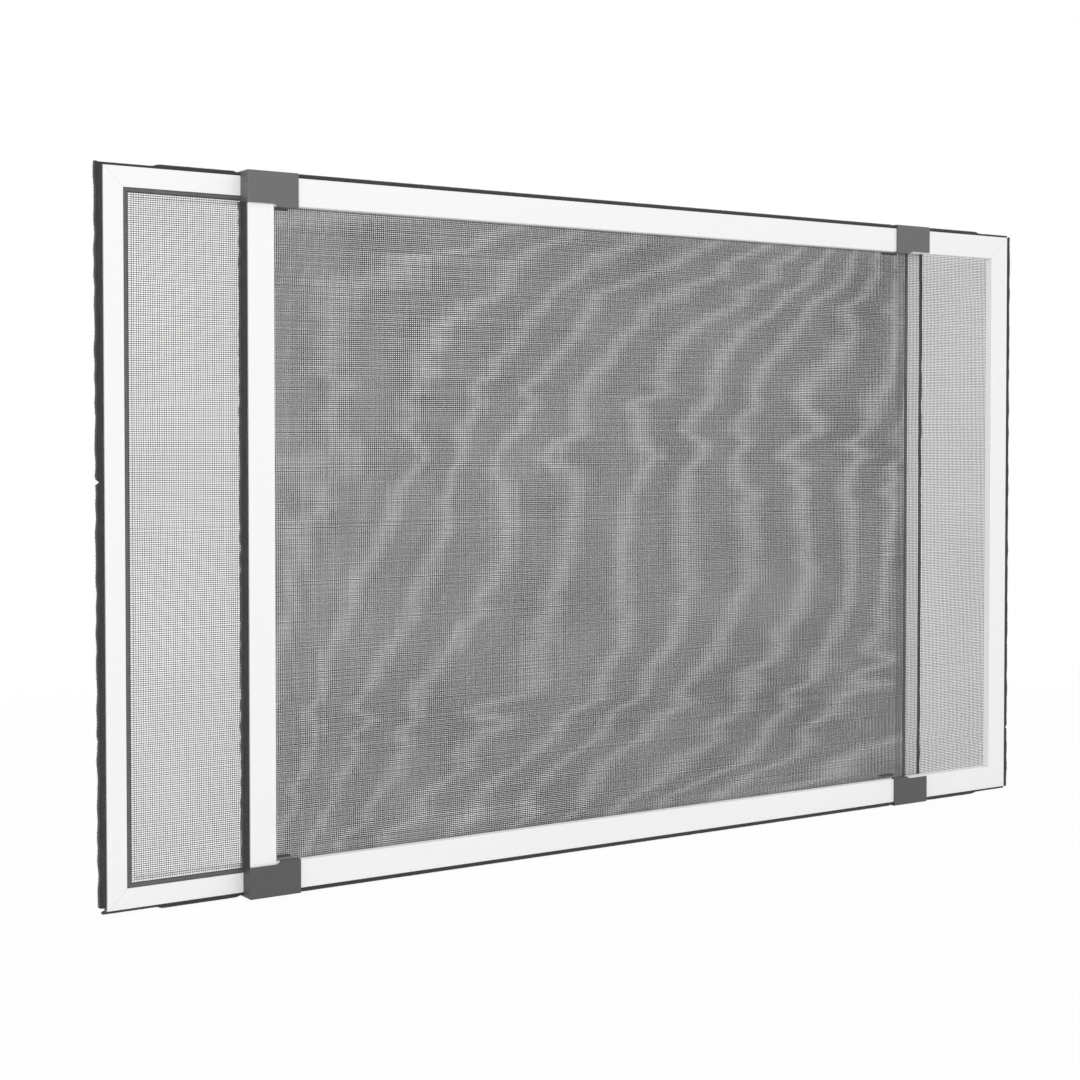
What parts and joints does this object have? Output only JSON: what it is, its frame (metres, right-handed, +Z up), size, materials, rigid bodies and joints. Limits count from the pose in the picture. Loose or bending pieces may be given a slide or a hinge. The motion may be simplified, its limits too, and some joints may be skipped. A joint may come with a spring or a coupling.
{
  "type": "extendable window insect screen",
  "caption": "Window insect screen of two sliding framed mesh panels, held together by corner clips, with brush seals round the edges.",
  "frame": {"origin": "at the height of the clips' feet, midway between the two outer ends and midway between the two frames", "axes": "+X along the width to the viewer's right, +Y away from the viewer through the screen, +Z up"},
  "size_m": [0.8586, 0.0208, 0.5064],
  "materials": {
    "white_coat": "satin white powder coat on aluminium",
    "clip_plastic": "fine-grained grey moulded plastic",
    "brush_pile": "dense anthracite pile",
    "spline_rubber": "matt grey rubber",
    "mesh_yarn": "coated glass-fibre yarn",
    "key_plastic": "moulded black plastic"
  },
  "bodies": {
    "front_frame": {"front_top_rail": "white_coat", "front_bottom_rail": "white_coat", "front_left_stile": "white_coat", "front_right_stile": "white_coat", "front_top_left_key": "key_plastic", "front_top_right_key": "key_plastic", "front_bottom_left_key": "key_plastic", "front_bottom_right_key": "key_plastic", "front_top_brush": "brush_pile", "front_bottom_brush": "brush_pile", "front_left_brush": "brush_pile", "front_right_brush": "brush_pile", "front_mesh": "mesh_yarn", "front_spline": "spline_rubber", "front_top_clip": "clip_plastic", "front_bottom_clip": "clip_plastic"},
    "rear_frame": {"rear_top_rail": "white_coat", "rear_bottom_rail": "white_coat", "rear_left_stile": "white_coat", "rear_right_stile": "white_coat", "rear_top_left_key": "key_plastic", "rear_top_right_key": "key_plastic", "rear_bottom_left_key": "key_plastic", "rear_bottom_right_key": "key_plastic", "rear_top_brush": "brush_pile", "rear_bottom_brush": "brush_pile", "rear_left_brush": "brush_pile", "rear_right_brush": "brush_pile", "rear_mesh": "mesh_yarn", "rear_spline": "spline_rubber", "rear_top_clip": "clip_plastic", "rear_bottom_clip": "clip_plastic"}
  },
  "joints": [
    {"name": "width_slide", "type": "slide", "parent": "front_frame", "child": "rear_frame", "axis": [-1, 0, 0], "range_m": [-0.1, 0.573]}
  ]
}
